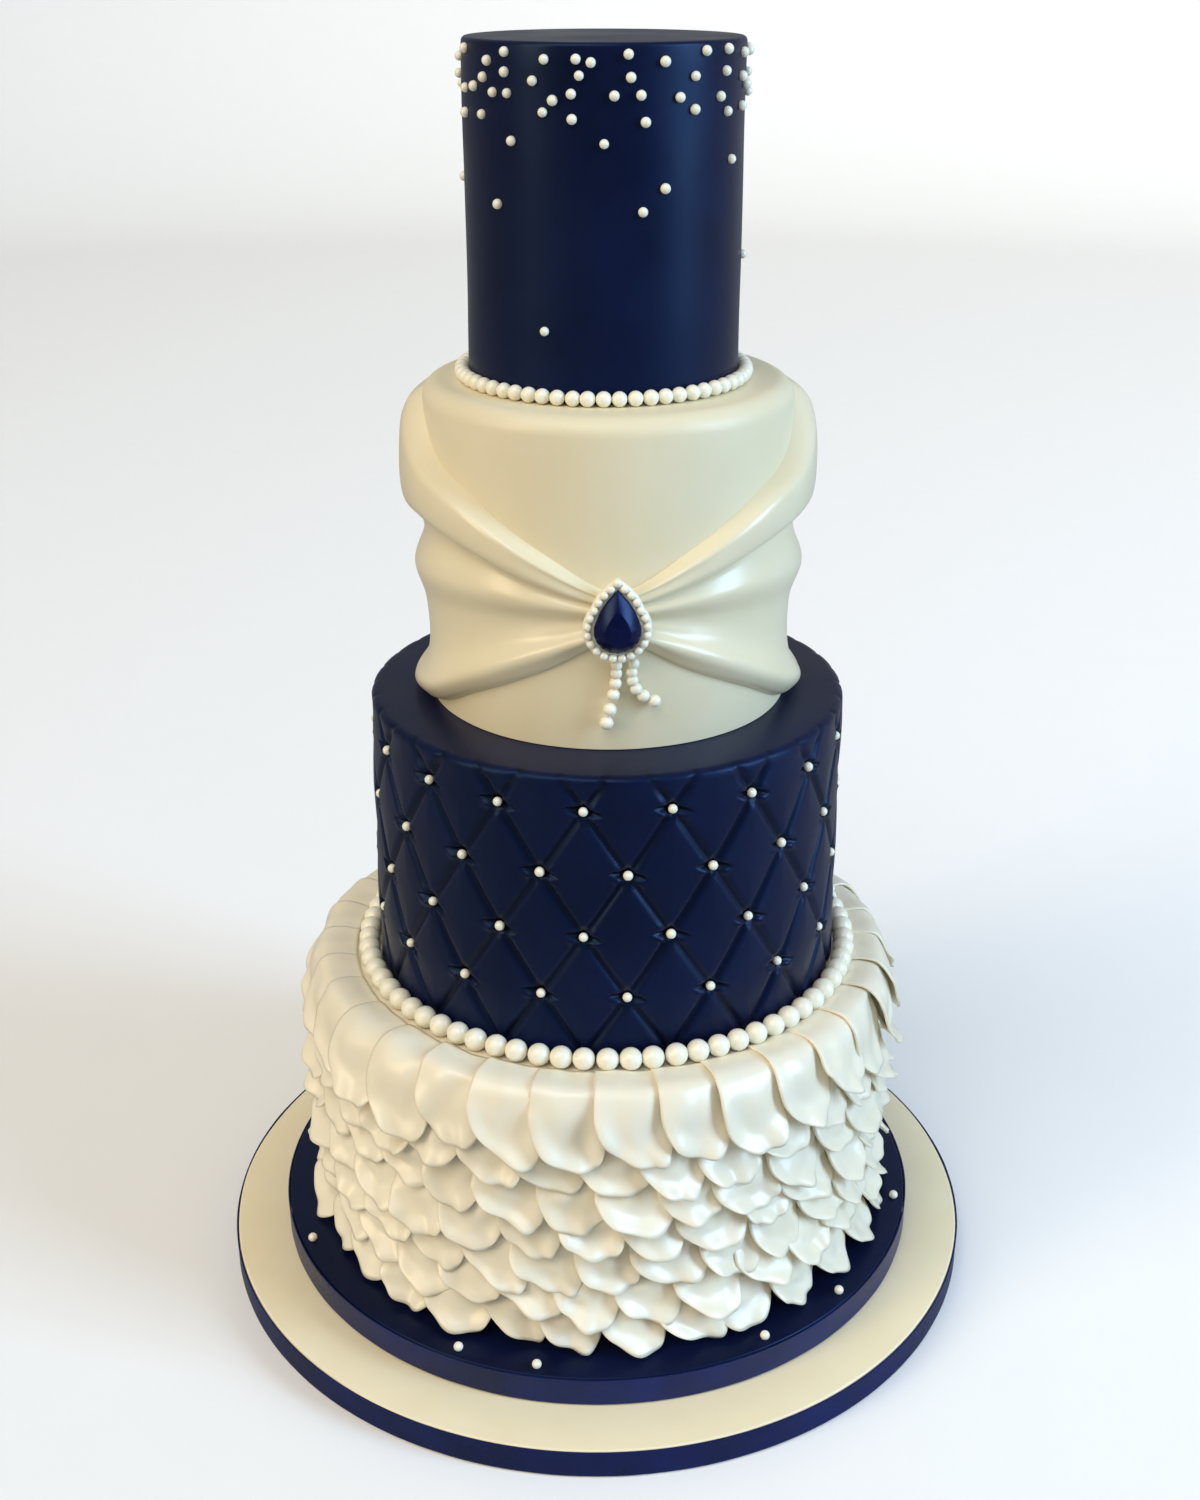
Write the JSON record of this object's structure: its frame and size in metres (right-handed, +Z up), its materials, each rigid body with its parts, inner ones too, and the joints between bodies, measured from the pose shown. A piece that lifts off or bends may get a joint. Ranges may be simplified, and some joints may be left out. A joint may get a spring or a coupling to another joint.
{
  "type": "tiered wedding cake",
  "caption": "Tiered wedding cake in navy and ivory icing, with frills, quilting, a gathered drape with a brooch and scattered pearls, on stacked iced boards.",
  "frame": {"origin": "middle of the lower board's underside, on the surface that the cake stands on", "axes": "+Z up, the brooch faces -Y, +X to the right of someone facing it"},
  "size_m": [0.356, 0.356, 0.5502],
  "materials": {
    "ivory_icing": "rolled icing with a soft sheen",
    "ivory_satin": "pearly satin icing",
    "frill_icing": "thin pearly icing petals",
    "navy_icing": "rolled icing with a faint sheen",
    "ribbon": "glossy satin ribbon",
    "pearls": "smooth pearly sugar beads",
    "jewel": "glossy moulded stone"
  },
  "bodies": {
    "root": {"board_lower": "ivory_icing", "ribbon_lower": "ribbon", "board_upper": "navy_icing", "ribbon_upper": "ribbon", "tier_ruffled": "frill_icing", "beads_lower": "pearls", "tier_quilted": "navy_icing", "tier_draped": "ivory_icing", "drape": "ivory_satin", "jewel": "jewel", "jewel_surround": "pearls", "strand_long": "pearls", "strand_short": "pearls", "beads_upper": "pearls", "tier_top": "navy_icing"}
  },
  "joints": []
}
